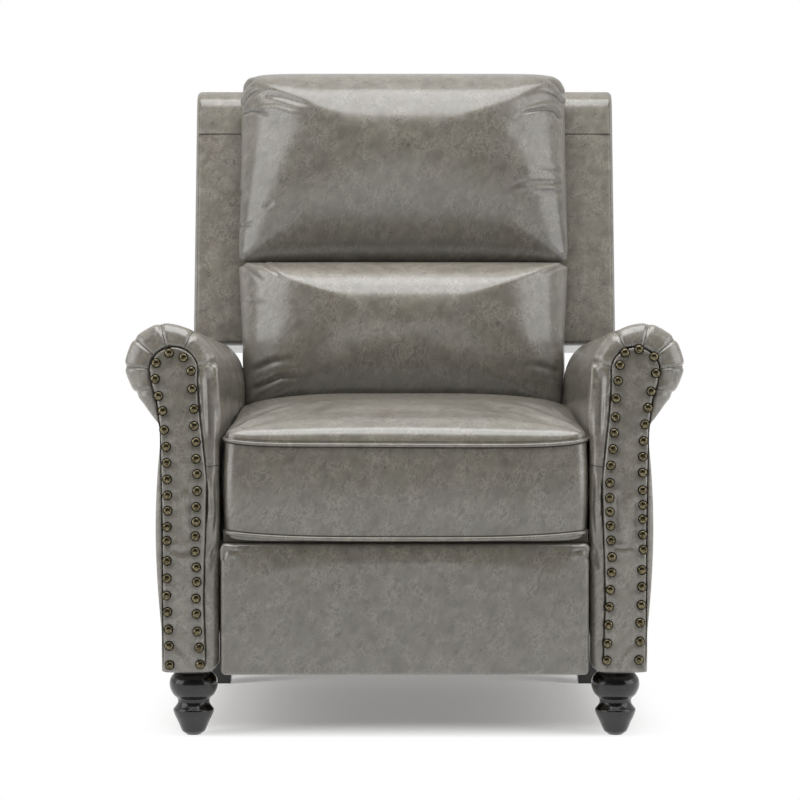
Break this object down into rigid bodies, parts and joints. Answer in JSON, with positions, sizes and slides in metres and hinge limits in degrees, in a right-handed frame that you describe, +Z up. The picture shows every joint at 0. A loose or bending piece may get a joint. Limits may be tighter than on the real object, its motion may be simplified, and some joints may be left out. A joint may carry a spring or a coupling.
{
  "type": "wingback recliner",
  "caption": "Upholstered wingback push-back recliner with rolled nailhead arms, box seat, split back pillows, turned feet and a fold-out footrest.",
  "frame": {"origin": "centre of the bounding box on the floor, under the middle of the chair", "axes": "+Z up, -Y towards the front of the chair, +X to the right of someone who looks at the front"},
  "size_m": [0.7914, 0.8518, 1.0034],
  "materials": {
    "faux_leather": "glossy distressed grey-taupe faux leather, a coated fabric over foam",
    "timber": "planed unfinished frame timber",
    "black_lacquer": "satin-gloss black lacquer on turned wood",
    "mechanism_steel": "black painted pressed steel",
    "spring_wire": "drawn spring wire"
  },
  "bodies": {
    "base": {"arm_casing_right": "faux_leather", "arm_casing_left": "faux_leather", "arm_facing_right": "faux_leather", "arm_facing_left": "faux_leather", "arm_bottom_rail_right": "timber", "arm_bottom_rail_left": "timber", "arm_front_post_right": "timber", "arm_front_post_left": "timber", "arm_rear_post_right": "timber", "arm_rear_post_left": "timber", "arm_top_rail_right": "timber", "arm_top_rail_left": "timber", "front_foot_right": "black_lacquer", "front_foot_left": "black_lacquer", "rear_leg_right": "black_lacquer", "rear_leg_left": "black_lacquer", "base_rear_rail": "timber", "base_back_panel": "faux_leather", "seat_track_right": "mechanism_steel", "seat_track_left": "mechanism_steel", "linkage_side_plate_right": "mechanism_steel", "linkage_side_plate_left": "mechanism_steel", "recline_guide_plate_right": "mechanism_steel", "recline_guide_plate_left": "mechanism_steel"},
    "seat": {"seat_side_rail_right": "timber", "seat_side_rail_left": "timber", "seat_front_rail": "timber", "seat_rear_rail": "timber", "seat_spring_1": "spring_wire", "seat_spring_2": "spring_wire", "seat_spring_3": "spring_wire", "seat_spring_4": "spring_wire", "seat_cushion": "faux_leather", "seat_hinge_plate_right": "mechanism_steel", "seat_hinge_plate_left": "mechanism_steel"},
    "back": {"back_stile_right": "timber", "back_stile_left": "timber", "back_top_rail": "timber", "back_bottom_rail": "timber", "back_spring_1": "spring_wire", "back_spring_2": "spring_wire", "outside_back_panel": "faux_leather", "inside_back_pad": "faux_leather", "back_wing_right": "faux_leather", "back_wing_left": "faux_leather", "lumbar_pillow": "faux_leather", "head_pillow": "faux_leather", "back_hinge_ear_right": "mechanism_steel", "back_hinge_ear_left": "mechanism_steel"},
    "crank": {"crank_with_torque_tube": "mechanism_steel"},
    "follower_links": {"follower_link_right": "mechanism_steel", "follower_link_left": "mechanism_steel"},
    "carrier_links": {"carrier_link_right": "mechanism_steel", "carrier_link_left": "mechanism_steel"},
    "board_struts": {"board_strut_right": "mechanism_steel", "board_strut_left": "mechanism_steel"},
    "footrest": {"footrest_bracket_right": "mechanism_steel", "footrest_bracket_left": "mechanism_steel", "footrest_pad": "faux_leather", "footrest_board": "timber"}
  },
  "joints": [
    {"name": "seat_slide", "type": "slide", "parent": "base", "child": "seat", "axis": [0, -1, 0], "range_m": [0, 0.0548]},
    {"name": "back_recline", "type": "hinge", "parent": "seat", "child": "back", "pos_m": [0, 0.2051, 0.322], "axis": [-1, 0, 0], "range_deg": [0, 32]},
    {"name": "footrest_open", "type": "hinge", "parent": "base", "child": "crank", "pos_m": [0, -0.2359, 0.25], "axis": [-1, 0, 0], "range_deg": [0, 130.5]},
    {"name": "follower_turn", "type": "hinge", "parent": "base", "child": "follower_links", "pos_m": [0, -0.1972, 0.2244], "axis": [-1, 0, 0], "range_deg": [0, 131]},
    {"name": "carrier_turn", "type": "hinge", "parent": "crank", "child": "carrier_links", "pos_m": [0, -0.11185, 0.13909], "axis": [-1, 0, 0], "range_deg": [-131, 0]},
    {"name": "strut_turn", "type": "hinge", "parent": "crank", "child": "board_struts", "pos_m": [0, -0.08188, 0.11229], "axis": [-1, 0, 0], "range_deg": [-125.9, 0]},
    {"name": "footrest_turn", "type": "hinge", "parent": "carrier_links", "child": "footrest", "pos_m": [0, -0.3559, 0.21604], "axis": [-1, 0, 0], "range_deg": [0, 91.4]}
  ],
  "couplings": [
    {"joint": "seat_slide", "follows": "back_recline", "m_per_rad": 0.0976},
    {"joint": "follower_turn", "follows": "footrest_open", "ratio": 1},
    {"joint": "carrier_turn", "follows": "footrest_open", "ratio": -1},
    {"joint": "strut_turn", "follows": "footrest_open", "ratio": -0.96092},
    {"joint": "footrest_turn", "follows": "footrest_open", "ratio": 0.69632}
  ]
}
